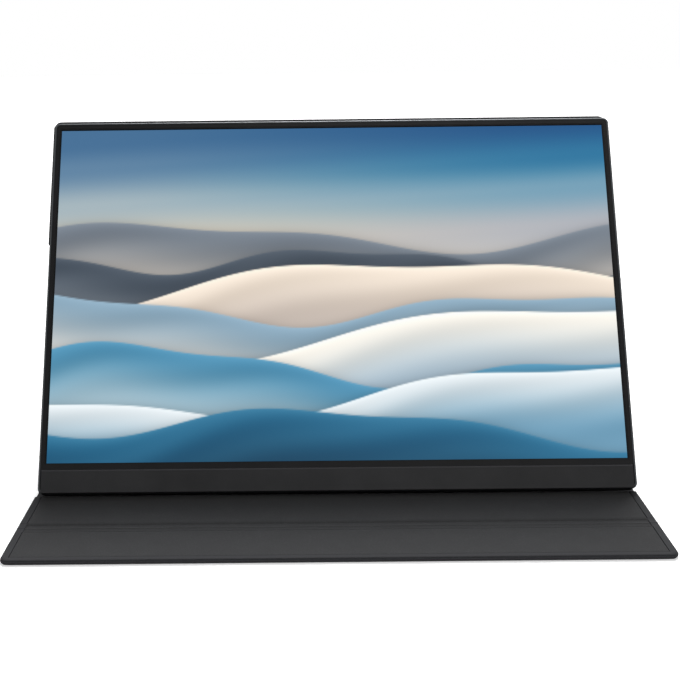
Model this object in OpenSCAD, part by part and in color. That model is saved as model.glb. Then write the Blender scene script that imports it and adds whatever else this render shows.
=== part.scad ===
// Portable flat screen standing in its folded leather cover.
// Millimetres. +X is the viewer's right, +Y points away from the viewer, +Z is up.
// The origin is on the table, under the middle of the cover.

/* [Screen housing] */
// Width of the lit picture
screen_w = 344.7; // [340:0.1:350]
// Height of the lit picture
screen_h = 215.4; // [210:0.1:220]
// Housing beyond the picture, at each side
side_border = 4.4; // [4:0.1:8]
// Housing beyond the picture, above it
top_border = 4.8; // [4:0.1:10]
// Height of the chin, below the picture
chin_h = 18.5; // [17:0.5:30]
// Thickness of the housing
housing_t = 9.5; // [9.3:0.1:12]
// Corner radius of the housing, seen from the front
housing_corner_r = 3.6; // [2.5:0.1:6]
// Wall of the rear shell, at its sides
shell_side = 1.2; // [1:0.1:1.5]
// Wall of the rear shell, at its back
shell_back = 1.0; // [0.8:0.1:1.2]
// Chamfer along the shell's front rim
rim_chamfer = 0.7; // [0.3:0.1:0.8]
// Rounding along the shell's rear edges
shell_edge_r = 1.4; // [1:0.1:1.8]

/* [Bezel and chin plate] */
// Depth of the bezel's face behind the shell's rim
bezel_recess = 0.3; // [0.1:0.05:0.5]
// Thickness of the bezel
bezel_t = 0.8; // [0.6:0.05:1]
// Black edge of the glass that shows inside the bezel
black_edge = 0.5; // [0.3:0.1:1]
// Width of the lip around the bezel's opening
lip_w = 0.6; // [0.4:0.1:0.8]
// Step from the bezel's face down to its lip
lip_step = 0.25; // [0.1:0.05:0.4]
// Height of the chin plate
chin_plate_h = 13.9; // [10:0.1:14]
// Thickness of the chin plate
chin_plate_t = 1.0; // [0.7:0.1:1.2]
// Chin plate standing out from the shell's rim
chin_plate_proud = 0.2; // [0.1:0.05:0.4]
// Distance from the chin plate's end to the housing's side
chin_plate_inset = 1.8; // [1.5:0.1:3]
// Distance from the chin plate to the housing's lower edge
chin_plate_foot = 0.4; // [0.3:0.1:1]

/* [Display stack] */
// Glass beyond the picture, at the sides and the top
glass_edge = 1.9; // [1.7:0.1:2.1]
// Glass beyond the picture, at the bottom
glass_foot = 5; // [4:0.1:6]
// Thickness of the liquid crystal panel
glass_t = 1.0; // [0.8:0.1:1.2]
// Thickness of the foam seal behind the bezel
seal_t = 0.2; // [0.1:0.05:0.3]
// Width of the foam seal
seal_w = 1.1; // [0.8:0.1:1.2]
// Thickness of the stacked optical films
films_t = 0.4; // [0.3:0.1:0.5]
// Thickness of the light guide
guide_t = 0.5; // [0.4:0.1:0.6]
// Thickness of the reflector sheet
reflector_t = 0.15; // [0.1:0.05:0.2]
// Thickness of the backlight tray's sheet
tray_t = 0.25; // [0.2:0.05:0.3]

/* [Buttons and sockets] */
// Number of buttons on the left side
button_count = 5; // [3:1:6]
// Height of the lowest button above the housing's lower edge
button_first = 20.7; // [18:0.1:30]
// Spacing of the buttons
button_pitch = 7.4; // [7:0.1:10]
// Length of a button's head
button_l = 4.6; // [4:0.1:5.5]
// Width of a button's head
button_w = 2.0; // [1.6:0.1:2.4]
// Button standing out from the housing's side
button_proud = 0.45; // [0.4:0.05:0.8]
// Travel of a button
button_travel = 0.3; // [0.2:0.05:0.35]
// Clearance round a button in its hole
button_gap = 0.15; // [0.1:0.05:0.2]
// Height of the lowest socket above the housing's lower edge
socket_first = 32; // [28:1:40]
// Spacing of the sockets
socket_pitch = 17; // [15:0.5:20]
// Radius of the headphone socket's bore
jack_r = 1.8; // [1.75:0.05:1.9]
// Depth of the headphone socket's bore
jack_depth = 12; // [10:0.5:14]

/* [Cover panels] */
// Cover standing out past the housing, at each side
cover_margin = 1.75; // [1.75:0.25:10.75]
// Thickness of the leather
skin_t = 0.6; // [0.5:0.05:0.8]
// Thickness of the stiffening boards
board_t = 1.6; // [1.4:0.1:2]
// Thickness of the lining
lining_t = 0.6; // [0.5:0.05:0.8]
// Width of the turned hem around the lining
hem_w = 4.5; // [3.5:0.1:7]
// Corner radius of the cover
cover_corner_r = 5; // [3:0.5:9]
// Rounding of the turned edges
cover_edge_r = 1.1; // [0.8:0.1:1.2]
// Width of each plain crease
crease_w = 6.6; // [6.4:0.1:8]
// Width of the spine, from crease to crease
spine_w = 12.5; // [11.5:0.5:20]
// Length of the flap's front panel
front_panel_l = 39.5; // [30:0.5:60]
// Width of the fold between the flap's front and middle panels
flap_groove_w = 11.3; // [11.3:0.1:14]
// Thickness of the cover at that fold
flap_groove_t = 2.0; // [1.4:0.1:2.2]
// Length of the flap's middle panel
middle_panel_l = 42.7; // [30:0.1:60]
// Width of the groove that holds the housing's foot
foot_groove_w = 12; // [12:0.5:16]

/* [Standing pose] */
// Lean of the screen, back from upright
lean = 30; // [24:0.5:34]
// Height of the back crease, measured up the housing
crease_height = 157; // [150:1:160]
// Length of the leg, from crease to crease
leg_l = 158.5; // [158:0.5:172]
// Cover standing out above the housing
holder_overhang = 5.9; // [3:0.1:12]
// Housing off the cover's middle, along X
screen_shift = 1.1; // [-1.2:0.1:1.2]
// Distance from the housing's rear lower edge to the groove's front wall
foot_setback = 3; // [2.8:0.1:4]
// Gap under the housing's foot
foot_gap = 0.3; // [0.1:0.05:0.3]
// Gap between the holder and the housing's back
holder_gap = 0.1; // [0.1:0.05:0.3]

/* [Hidden] */
$fn = 48;
// Overshoot of a cutting solid, so that no cut ends on a face
past = 1;

// Housing, in its own flat frame: x across, y up from the lower edge, z from the back
housing_w = screen_w + 2 * side_border;
housing_h = screen_h + top_border + chin_h;
inner_w = housing_w - 2 * shell_side;
inner_top = housing_h - shell_side;
picture_y = chin_h;
picture_top = chin_h + screen_h;
bezel_z = housing_t - bezel_recess - bezel_t;
plate_z = housing_t + chin_plate_proud - chin_plate_t;
glass_z = bezel_z - seal_t - glass_t;
films_z = glass_z - films_t;
guide_z = films_z - guide_t;
reflector_z = guide_z - reflector_t;
tray_z = reflector_z - tray_t;
fit_gap = 0.1;

// Bottom and top of the glass, and of the films inside the tray
glass_bottom = picture_y - glass_foot;
glass_top = picture_top + glass_edge;
glass_w = screen_w + 2 * glass_edge;
films_edge = 0.8;
films_w = screen_w + 2 * films_edge;
films_h = screen_h + 2 * films_edge;
led_strip_h = 1.4;
tray_gap = 0.15;
tray_w = glass_w + 2 * (tray_gap + tray_t);

// Boards and what they carry
board_seat = 1.6;
main_board_t = 0.8;
main_board_z = shell_back + board_seat;
main_board_w = 120;
main_board_h = 76;
main_board_y = 24;
main_board_x = inner_w / 2 - fit_gap - main_board_w;
screw_inset = 5;
screw_r = 0.95;
screw_head_r = 1.9;
screw_head_t = 0.9;
screw_gap = 0.05;
boss_r = 2.6;
driver_board_w = 300;
driver_board_h = 8;
driver_board_t = 0.8;
screw_columns = [main_board_x + screw_inset, main_board_x + main_board_w / 2,
                 main_board_x + main_board_w - 4 * screw_inset];
screw_rows = [main_board_y + screw_inset, main_board_y + main_board_h - screw_inset];
driver_board_y = glass_bottom + 1;

// Chips and coils: x and y on the main board, then width, length and height
chips = [[22, 38, 15, 15, 1.2], [70, 24, 12, 12, 1.0], [54, 50, 9, 7, 0.9],
         [84, 46, 7, 7, 1.6], [84, 58, 7, 7, 1.6], [14, 60, 8, 5, 0.9], [66, 62, 6, 5, 0.9]];

// Flat cable of the panel, and its connector
cable_w = 22;
cable_t = 0.3;
cable_x = main_board_x + main_board_w / 3;
cable_z = tray_z - driver_board_t - cable_t;
connector_l = 5;
connector_y = main_board_y + 9;
socket_z = shell_back + board_seat + main_board_t / 2 + 0.5;

// Sockets: width along the side, thickness and depth into the housing
usb_size = [8.9, 3.2, 7.4];
usb_mouth = [9.1, 3.4];
hdmi_size = [11.2, 3.2, 7.6];
hdmi_mouth = [11.4, 3.4];
jack_body_r = 2.3;
jack_base_w = 6.2;
socket_wall = 0.3;
socket_floor = 1.2;
tongue_t = 0.7;

// Side buttons and the switches behind them
button_z = main_board_z + 1.1;
flange_t = 0.6;
flange_rim = 0.5;
switch_gap = 0.05;
switch_size = [1.4, 3.2, 2.6];
button_board_t = 0.8;
switch_x = -inner_w / 2 + fit_gap + flange_t + button_travel + switch_gap;
button_board_x = switch_x + switch_size[0];

// Ribs on the back wall, and the magnets between them
rib_t = 1;
rib_xs = [-140, -95, 0, 95, 140];
rib_bottom = main_board_y + main_board_h + 12;
rib_top = housing_h - 6.7;
rib_rows = [rib_bottom, crease_height + 5];
magnet_size = [38, 8, 1.4];
magnet_xs = [-118, -48, 48, 118];
magnet_ys = [crease_height + 23, housing_h - 24.7];
holder_magnet_t = 1.2;

// Speakers and their slots
speaker_size = [26, 13, 4.2];
speaker_gap = 9.5;
speaker_inset = 45.5;
speaker_xs = [speaker_inset - inner_w / 2,
              main_board_x - speaker_gap - speaker_size[0]];
speaker_y = 26;
speaker_rim = 1.5;
slot_count = 7;
slot_w = 1.2;
slot_l = 8;
slot_pitch = 2.8;

// Cover, worked out from where the housing's foot stands
cover_w = housing_w + 2 * cover_margin;
cover_t = skin_t + board_t + lining_t;
crease_t = skin_t + lining_t + 0.1;
half_crease = crease_w / 2;
crease_notch = 0.9;
crease_edge = 0.2;
crease_edge_r = crease_t / 2;
// Clearance between a crease and the panels beside it
seam = 0.002;
bend_reach = half_crease - seam;
lining_corner_r = 1.5;
flap_front_reach = foot_setback + middle_panel_l + flap_groove_w + front_panel_l;
back_rise = crease_height * cos(lean) - (holder_gap + cover_t) * sin(lean) + foot_gap;
back_run = crease_height * sin(lean) + (holder_gap + cover_t) * cos(lean);
leg_chord = sqrt(leg_l * leg_l + crease_t * crease_t);
leg_run = sqrt(leg_chord * leg_chord - back_rise * back_rise);
leg_tilt = atan(leg_run / back_rise) + atan(crease_t / leg_l);

// Places of the creases on the table, kept to a thousandth so that the panels and
// creases beside them meet face to face
function on_grid(v) = round(v * 1000) / 1000;

// Main places along Y and Z
leg_crease_y = on_grid((flap_front_reach + back_run + leg_run - crease_t) / 2);
foot_y = leg_crease_y - back_run - leg_run;
foot_z = crease_t + foot_gap;
spine_crease_y = leg_crease_y - spine_w;
groove_front_y = on_grid(foot_y - foot_setback);
groove_rear_y = groove_front_y + foot_groove_w;
middle_front_y = groove_front_y - middle_panel_l;
front_rear_y = middle_front_y - flap_groove_w;
front_edge_y = front_rear_y - front_panel_l;
back_crease_y = foot_y + back_run;
back_crease_z = crease_t + back_rise;
holder_panel_l = housing_h + holder_overhang - crease_height - half_crease;
leg_panel_l = leg_l - crease_w;
spine_panel_l = spine_w - crease_w;
rear_panel_l = spine_crease_y - half_crease - groove_rear_y;

// Magnets in the flap's front panel
flap_magnet = [30, 8, 1.2];
flap_magnet_xs = [-90, 90];
flap_magnet_y = 10;

leather = "#202124";
lining_colour = "#3b3c40";
board_colour = "#8d8577";
metal = "#8b8e93";
magnet_colour = "#b9bcc0";
pcb_green = "#1f5a3c";

// Half of a plate's edge, from x = 0 to reach, with its lower and upper corners rounded
module edge_half(reach, t, low_r, high_r) {
    square([reach - max(low_r, high_r), t]);
    translate([0, low_r]) square([reach, t - low_r - high_r]);
    if (low_r > 0) translate([reach - low_r, low_r]) circle(low_r);
    if (high_r > 0) translate([reach - high_r, t - high_r]) circle(high_r);
}

// Plate w wide and l long, whose edge all round is the child profile, of reach r.
// An end that isn't framed is cut square.
module framed_plate(w, l, r, t, start = true, end = true) {
    low = start ? r : 0;
    high = end ? l - r : l;
    half = w / 2 - r;
    for (sx = [-1, 1]) {
        if (start) translate([sx * half, r, 0]) rotate_extrude() children();
        if (end) translate([sx * half, l - r, 0]) rotate_extrude() children();
    }
    translate([half, high, 0]) rotate([90, 0, 0]) linear_extrude(high - low) children();
    translate([-half, low, 0]) rotate([90, 0, 180]) linear_extrude(high - low) children();
    if (start) translate([half, r, 0]) rotate([90, 0, -90]) linear_extrude(2 * half) children();
    if (end) translate([-half, l - r, 0]) rotate([90, 0, 90]) linear_extrude(2 * half) children();
    translate([-half, low, 0]) cube([2 * half, high - low, t]);
}

// Flat plate with rounded corners, cut square at an end that isn't rounded
module flat_plate(w, l, r, t, start = true, end = true) {
    low = start ? r : 0;
    high = end ? l - r : l;
    linear_extrude(t) {
        translate([-w / 2, low]) square([w, high - low]);
        translate([-w / 2 + r, 0]) square([w - 2 * r, l]);
        for (sx = [-1, 1]) {
            if (start) translate([sx * (w / 2 - r), r]) circle(r);
            if (end) translate([sx * (w / 2 - r), l - r]) circle(r);
        }
    }
}

// Block centred on x
module centred_block(w, l, t) {
    translate([-w / 2, 0, 0]) cube([w, l, t]);
}

// Slot with round ends, l long overall and w wide, along y
module slot(l, w, t) {
    linear_extrude(t) {
        translate([-w / 2, -l / 2 + w / 2]) square([w, l - w]);
        for (s = [-1, 1]) translate([0, s * (l / 2 - w / 2)]) circle(w / 2);
    }
}

// Slot through a side wall, l along the side and w across it
module side_slot(l, w, depth) {
    rotate([0, 90, 0]) slot(l, w, depth);
}

// Stands a flat frame up against the leaning housing, with its lower edge in the groove
module leaning(x = 0) {
    translate([x, foot_y, foot_z]) rotate([90 - lean, 0, 0]) children();
}

module housing_frame() { leaning(screen_shift) children(); }

module holder_frame() {
    leaning() translate([0, crease_height, -holder_gap - cover_t]) children();
}

module leg_frame() {
    translate([0, leg_crease_y, crease_t]) rotate([90 + leg_tilt, 0, 0])
        translate([0, 0, -crease_t]) children();
}

// Rear shell: outer tray, hollow, ribs, bosses, and the cuts for buttons and sockets
module shell_profile() {
    r = housing_corner_r;
    difference() {
        edge_half(r, housing_t, shell_edge_r, 0);
        translate([r, housing_t]) rotate(45) square(rim_chamfer * sqrt(2), center = true);
    }
}

module shell_hollow() {
    translate([0, shell_side, shell_back])
        flat_plate(inner_w, housing_h - 2 * shell_side, housing_corner_r - shell_side, housing_t);
}

function button_y(i) = button_first + i * button_pitch;
function socket_y(i) = socket_first + i * socket_pitch;

module shell_cuts() {
    through = shell_side + 2 * past;
    for (i = [0 : button_count - 1])
        translate([-housing_w / 2 - past, button_y(i), button_z])
            side_slot(button_l + 2 * button_gap, button_w + 2 * button_gap, through);
    for (i = [0, 1])
        translate([inner_w / 2 - past, socket_y(i), socket_z])
            side_slot(usb_mouth[0], usb_mouth[1], through);
    translate([inner_w / 2 - past, socket_y(2), socket_z])
        side_slot(hdmi_mouth[0], hdmi_mouth[1], through);
    translate([inner_w / 2 - past, socket_y(3), socket_z])
        rotate([0, 90, 0]) cylinder(r = jack_r, h = through);
    for (x = speaker_xs, i = [0 : slot_count - 1])
        translate([x + speaker_size[0] / 2 + (i - (slot_count - 1) / 2) * slot_pitch,
                   speaker_y + speaker_size[1] / 2, -past])
            slot(slot_l, slot_w, shell_back + 2 * past);
    translate([0, chin_plate_foot, plate_z])
        centred_block(housing_w - 2 * chin_plate_inset, chin_plate_h, housing_t);
}

module shell_ribs() {
    rib_h = tray_z - shell_back;
    rib_span = rib_xs[len(rib_xs) - 1] - rib_xs[0] + rib_t;
    for (x = rib_xs)
        translate([x - rib_t / 2, rib_bottom, shell_back])
            cube([rib_t, rib_top - rib_bottom, rib_h]);
    for (y = rib_rows)
        translate([rib_xs[0] - rib_t / 2, y, shell_back]) cube([rib_span, rib_t, rib_h]);
}

// Places its children at each screw of the main board
module at_screws(z) {
    for (x = screw_columns, y = screw_rows) translate([x, y, z]) children();
}

module rear_shell() {
    color(metal) housing_frame() {
        difference() {
            framed_plate(housing_w, housing_h, housing_corner_r, housing_t) shell_profile();
            shell_hollow();
            shell_cuts();
        }
        shell_ribs();
        at_screws(shell_back) difference() {
            cylinder(r = boss_r, h = board_seat);
            cylinder(r = screw_r + screw_gap, h = board_seat + past);
        }
    }
}

// Bezel: a flat frame inside the shell's rim, with a stepped lip round its opening
module bezel_opening(grow, z) {
    opening_w = screen_w + 2 * (black_edge + grow);
    translate([0, picture_y - black_edge - grow, z])
        centred_block(opening_w, screen_h + 2 * (black_edge + grow), housing_t);
}

module bezel_frame() {
    color("#2b2c2e") housing_frame() difference() {
        translate([0, shell_side + fit_gap, bezel_z])
            flat_plate(inner_w - 2 * fit_gap, housing_h - 2 * (shell_side + fit_gap),
                       housing_corner_r - shell_side - fit_gap, bezel_t);
        bezel_opening(0, bezel_z - past);
        bezel_opening(lip_w, bezel_z + bezel_t - lip_step);
        translate([0, 0, plate_z])
            centred_block(housing_w, chin_plate_foot + chin_plate_h + fit_gap, housing_t);
    }
}

// Chin plate: a bevelled bar across the housing under the picture
module chin_plate() {
    bevel = chin_plate_proud;
    bar_w = housing_w - 2 * (chin_plate_inset + fit_gap);
    bar_h = chin_plate_h - fit_gap;
    color("#3a3b3e") housing_frame()
        translate([-bar_w / 2, chin_plate_foot + fit_gap, plate_z])
            rotate([90, 0, 90]) linear_extrude(bar_w)
                polygon([[0, 0], [bar_h, 0], [bar_h, chin_plate_t - bevel],
                         [bar_h - bevel, chin_plate_t], [bevel, chin_plate_t],
                         [0, chin_plate_t - bevel]]);
}

module foam_seal() {
    color("#151515") housing_frame() difference() {
        translate([0, picture_y - black_edge - seal_w, bezel_z - seal_t])
            centred_block(screen_w + 2 * (black_edge + seal_w),
                          screen_h + 2 * (black_edge + seal_w), seal_t);
        bezel_opening(0, bezel_z - seal_t - past);
    }
}

module lcd_panel() {
    color("#27333d") housing_frame() translate([0, glass_bottom, glass_z])
        centred_block(glass_w, glass_top - glass_bottom, glass_t);
}

// Sheet behind the glass, as large as the optical films
module backlight_sheet(z, t) {
    translate([0, picture_y - films_edge, z]) centred_block(films_w, films_h, t);
}

module optical_films() { color("#e9ebee") housing_frame() backlight_sheet(films_z, films_t); }

module light_guide() { color("#dfe8f0") housing_frame() backlight_sheet(guide_z, guide_t); }

module reflector_sheet() {
    color("white") housing_frame() backlight_sheet(reflector_z, reflector_t);
}

module backlight_tray() {
    tray_h = glass_top - glass_bottom + 2 * (tray_gap + tray_t);
    wall_h = glass_z + glass_t / 2 - tray_z;
    color("#a9adb2") housing_frame()
        translate([0, glass_bottom - tray_gap - tray_t, tray_z]) difference() {
            centred_block(tray_w, tray_h, wall_h);
            translate([0, tray_t, tray_t])
                centred_block(tray_w - 2 * tray_t, tray_h - 2 * tray_t, wall_h);
        }
}

module led_bar() {
    color("#f2f0c8") housing_frame()
        translate([0, picture_y - films_edge - led_strip_h, tray_z + tray_t])
            centred_block(films_w, led_strip_h, reflector_t + guide_t);
}

module panel_driver_board() {
    color(pcb_green) housing_frame()
        translate([0, driver_board_y, tray_z - driver_board_t])
            centred_block(driver_board_w, driver_board_h, driver_board_t);
}

// Flat cable from the driver board to its connector on the main board
module panel_ribbon_cable() {
    start = driver_board_y + driver_board_h / 2;
    color("#c9a24a") housing_frame() translate([cable_x, start, cable_z])
        centred_block(cable_w, connector_y + connector_l - start, cable_t);
}

// Notch in the main board round a socket of the given width and depth
module socket_notch(i, w, depth) {
    translate([inner_w / 2 - depth - fit_gap, socket_y(i) - w / 2 - fit_gap, 0])
        cube([depth + past, w + 2 * fit_gap, housing_t]);
}

module main_board() {
    color(pcb_green) housing_frame() difference() {
        translate([main_board_x, main_board_y, main_board_z])
            cube([main_board_w, main_board_h, main_board_t]);
        at_screws(0) cylinder(r = screw_r + screw_gap, h = housing_t);
        for (i = [0, 1]) socket_notch(i, usb_size[0], usb_size[2]);
        socket_notch(2, hdmi_size[0], hdmi_size[2]);
        socket_notch(3, jack_base_w, jack_depth + past);
    }
}

module board_components() {
    top = main_board_z + main_board_t;
    color("#24262a") housing_frame() {
        for (c = chips)
            translate([main_board_x + c[0], main_board_y + c[1], top]) cube([c[2], c[3], c[4]]);
        translate([cable_x, connector_y, top])
            centred_block(cable_w + 2, connector_l, cable_z - top);
    }
}

// Metal socket shell with an open mouth and a tongue
module side_socket(i, size) {
    translate([inner_w / 2 - size[2], socket_y(i), socket_z]) {
        difference() {
            side_slot(size[0], size[1], size[2]);
            translate([socket_floor, 0, 0])
                side_slot(size[0] - 2 * socket_wall, size[1] - 2 * socket_wall, size[2]);
        }
        translate([0, -size[0] / 2 + size[1] / 2, -tongue_t / 2])
            cube([size[2] - tongue_t, size[0] - size[1], tongue_t]);
    }
}

module usb_c_sockets() {
    color("#b7babd") housing_frame() for (i = [0, 1]) side_socket(i, usb_size);
}

module mini_hdmi_socket() { color("#b7babd") housing_frame() side_socket(2, hdmi_size); }

module headphone_socket() {
    color("#1b1b1c") housing_frame()
        translate([inner_w / 2 - jack_depth - past, socket_y(3), socket_z]) difference() {
            union() {
                rotate([0, 90, 0]) cylinder(r = jack_body_r, h = jack_depth + past);
                translate([0, -jack_base_w / 2, -jack_body_r])
                    cube([jack_depth - past, jack_base_w, 2 * jack_body_r]);
            }
            translate([past, 0, 0]) rotate([0, 90, 0])
                cylinder(r = jack_r, h = jack_depth + past);
        }
}

module board_screws() {
    color("#5d6064") housing_frame() at_screws(shell_back) {
        cylinder(r = screw_r, h = board_seat + main_board_t);
        translate([0, 0, board_seat + main_board_t]) difference() {
            cylinder(r = screw_head_r, h = screw_head_t);
            translate([0, 0, screw_head_t / 2])
                cylinder(r = screw_head_r / 2, h = screw_head_t, $fn = 6);
        }
    }
}

// Speakers, each with its cone facing the slots in the back wall
module speakers() {
    color("#1e1f21") housing_frame() for (x = speaker_xs)
        translate([x, speaker_y, shell_back]) difference() {
            cube(speaker_size);
            translate([speaker_size[0] / 2, speaker_size[1] / 2, -past])
                cylinder(r = speaker_size[1] / 2 - speaker_rim, h = past + speaker_size[2] / 2);
        }
}

// Board and switches behind the left side wall
module button_board() {
    board_l = (button_count - 1) * button_pitch + 2 * button_l;
    color(pcb_green) housing_frame()
        translate([button_board_x, button_first - button_l, shell_back])
            cube([button_board_t, board_l, tray_z - shell_back - fit_gap]);
}

module tact_switches() {
    color("#c3c6ca") housing_frame() for (i = [0 : button_count - 1])
        translate([switch_x, button_y(i) - switch_size[1] / 2, button_z - switch_size[2] / 2])
            cube(switch_size);
}

// Button: a head through the wall, and a flange that keeps it in
module side_button(i) {
    reach = button_proud + shell_side + fit_gap;
    color("#2c2d30") housing_frame()
        translate([-housing_w / 2 - button_proud, button_y(i), button_z]) {
            side_slot(button_l, button_w, reach + flange_t);
            translate([reach, 0, 0])
                side_slot(button_l + 2 * flange_rim, button_w + 2 * flange_rim, flange_t);
        }
}

module back_button() { side_button(0); }
module down_button() { side_button(1); }
module up_button() { side_button(2); }
module menu_button() { side_button(3); }
module power_button() { side_button(4); }

// Magnets that hold the housing to the cover, at the same places in both
module at_magnets() {
    for (x = magnet_xs, y = magnet_ys)
        translate([x - magnet_size[0] / 2, y - magnet_size[1] / 2, 0]) children();
}

module housing_magnets() {
    color(magnet_colour) housing_frame() translate([0, 0, shell_back])
        at_magnets() cube(magnet_size);
}

// Cover panel l long. Each end is hemmed, or open where a crease begins.
module panel_skin(l, start, end) {
    difference() {
        framed_plate(cover_w, l, cover_corner_r, cover_t, start, end)
            edge_half(cover_corner_r, cover_t, cover_edge_r, cover_edge_r);
        board_space(l, start, end, -past);
        lining_space(l, start, end, past);
    }
}

// Space of the stiffening board. It ends short of an open end by the given distance.
module board_space(l, start, end, short) {
    low = start ? skin_t : short;
    high = end ? l - skin_t : l - short;
    translate([0, low, skin_t])
        flat_plate(cover_w - 2 * skin_t, high - low, cover_corner_r - skin_t, board_t, start, end);
}

module lining_space(l, start, end, extra) {
    low = start ? hem_w : -extra;
    high = end ? l - hem_w : l + extra;
    translate([0, low, skin_t + board_t])
        flat_plate(cover_w - 2 * hem_w, high - low, lining_corner_r, lining_t + extra, start, end);
}

module panel_board(l, start, end) { board_space(l, start, end, lining_t); }

// Lining, turned down over the board at an open end
module panel_lining(l, start, end) {
    lining_space(l, start, end, 0);
    if (!start) lining_lip(0);
    if (!end) lining_lip(l - lining_t);
}

module lining_lip(y) {
    translate([0, y, skin_t]) centred_block(cover_w - 2 * skin_t, lining_t, board_t);
}

// Flat leather of a crease, l long and t thick, with its lower side edges rounded
module crease_strip(l, t) {
    reach = 2 * crease_edge_r;
    middle = cover_w / 2 - crease_edge - reach;
    translate([0, l - seam, 0]) rotate([90, 0, 0]) linear_extrude(l - 2 * seam) {
        translate([-middle, 0]) square([2 * middle, t]);
        for (side = [0, 1]) mirror([side, 0]) translate([middle, 0])
            edge_half(reach, t, crease_edge_r, 0);
    }
}

// Outline of a bent crease in the YZ plane, about its hinge line: a flat strip on each
// side, given as children, and a round that joins them from one angle to the other
module bent_outline(from, to) {
    far = 4 * crease_t;
    mid = (from + to) / 2;
    into = 15;
    children();
    intersection() {
        circle(crease_t);
        polygon([[0, 0], far * [cos(from - into), sin(from - into)],
                 far * [cos(mid), sin(mid)], far * [cos(to + into), sin(to + into)]]);
    }
}

// Extrudes an outline in the YZ plane across the cover
module across_cover(y, z) {
    translate([-cover_w / 2 + crease_notch, y, z]) rotate([90, 0, 90])
        linear_extrude(cover_w - 2 * crease_notch) children();
}

// Holder: the cover's top panel, held to the housing's back by magnets
module holder_place() { holder_frame() translate([0, half_crease, 0]) children(); }

module holder_magnet_space(extra) {
    leaning(screen_shift) translate([0, 0, -holder_gap - lining_t - holder_magnet_t])
        at_magnets() cube([magnet_size[0], magnet_size[1], holder_magnet_t + extra]);
}

module holder_skin() { color(leather) holder_place() panel_skin(holder_panel_l, false, true); }

module holder_board() {
    color(board_colour) difference() {
        holder_place() panel_board(holder_panel_l, false, true);
        holder_magnet_space(past);
    }
}

module holder_lining() {
    color(lining_colour) holder_place() panel_lining(holder_panel_l, false, true);
}

module holder_magnets() { color(magnet_colour) holder_magnet_space(0); }

// Leg: the panel that props the holder
module leg_place() { leg_frame() translate([0, half_crease, 0]) children(); }

module leg_skin() { color(leather) leg_place() panel_skin(leg_panel_l, false, false); }

module leg_board() { color(board_colour) leg_place() panel_board(leg_panel_l, false, false); }

module leg_lining() { color(lining_colour) leg_place() panel_lining(leg_panel_l, false, false); }

// Spine: the narrow panel that covers the housing's edge when the cover is shut
module spine_place() { translate([0, spine_crease_y + half_crease, 0]) children(); }

module spine_skin() { color(leather) spine_place() panel_skin(spine_panel_l, false, false); }

module spine_board() { color(board_colour) spine_place() panel_board(spine_panel_l, false, false); }

module spine_lining() {
    color(lining_colour) spine_place() panel_lining(spine_panel_l, false, false);
}

// Flap: rear, middle and front panels, flat on the table
module rear_place() { translate([0, groove_rear_y, 0]) children(); }
module middle_place() { translate([0, middle_front_y, 0]) children(); }
module front_place() { translate([0, front_edge_y, 0]) children(); }

module flap_rear_skin() { color(leather) rear_place() panel_skin(rear_panel_l, false, false); }

module flap_rear_board() {
    color(board_colour) rear_place() panel_board(rear_panel_l, false, false);
}

module flap_rear_lining() {
    color(lining_colour) rear_place() panel_lining(rear_panel_l, false, false);
}

module flap_middle_skin() {
    color(leather) middle_place() panel_skin(middle_panel_l, false, false);
}

module flap_middle_board() {
    color(board_colour) middle_place() panel_board(middle_panel_l, false, false);
}

module flap_middle_lining() {
    color(lining_colour) middle_place() panel_lining(middle_panel_l, false, false);
}

module flap_front_skin() { color(leather) front_place() panel_skin(front_panel_l, true, false); }

module flap_front_board() {
    color(board_colour) difference() {
        front_place() panel_board(front_panel_l, true, false);
        flap_magnet_space(past);
    }
}

module flap_front_lining() {
    color(lining_colour) front_place() panel_lining(front_panel_l, true, false);
}

// Magnets that keep the flap shut against the housing's rim
module flap_magnet_space(extra) {
    for (x = flap_magnet_xs)
        translate([x, front_edge_y + flap_magnet_y, skin_t + board_t - flap_magnet[2]])
            centred_block(flap_magnet[0], flap_magnet[1], flap_magnet[2] + extra);
}

module flap_magnets() { color(magnet_colour) flap_magnet_space(0); }

// Creases: leather and lining alone, with no board between them
module flap_groove_leather() {
    color(leather) translate([0, front_rear_y, 0]) crease_strip(flap_groove_w, flap_groove_t);
}

module foot_groove_leather() {
    color(leather) translate([0, groove_front_y, 0]) crease_strip(foot_groove_w, crease_t);
}

module spine_crease_leather() {
    color(leather) translate([0, spine_crease_y - half_crease, 0])
        crease_strip(crease_w, crease_t);
}

module leg_crease_leather() {
    color(leather) across_cover(leg_crease_y, crease_t) bent_outline(-90, leg_tilt) {
        translate([-bend_reach, -crease_t]) square([bend_reach, crease_t]);
        rotate(leg_tilt) square([crease_t, bend_reach]);
    }
}

module back_crease_leather() {
    color(leather) across_cover(back_crease_y, back_crease_z)
        bent_outline(180 - lean, 180 + leg_tilt) {
            rotate(-lean) translate([-crease_t, 0]) square([crease_t, bend_reach]);
            rotate(leg_tilt) translate([-crease_t, -bend_reach])
                square([crease_t, bend_reach]);
        }
}

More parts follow.
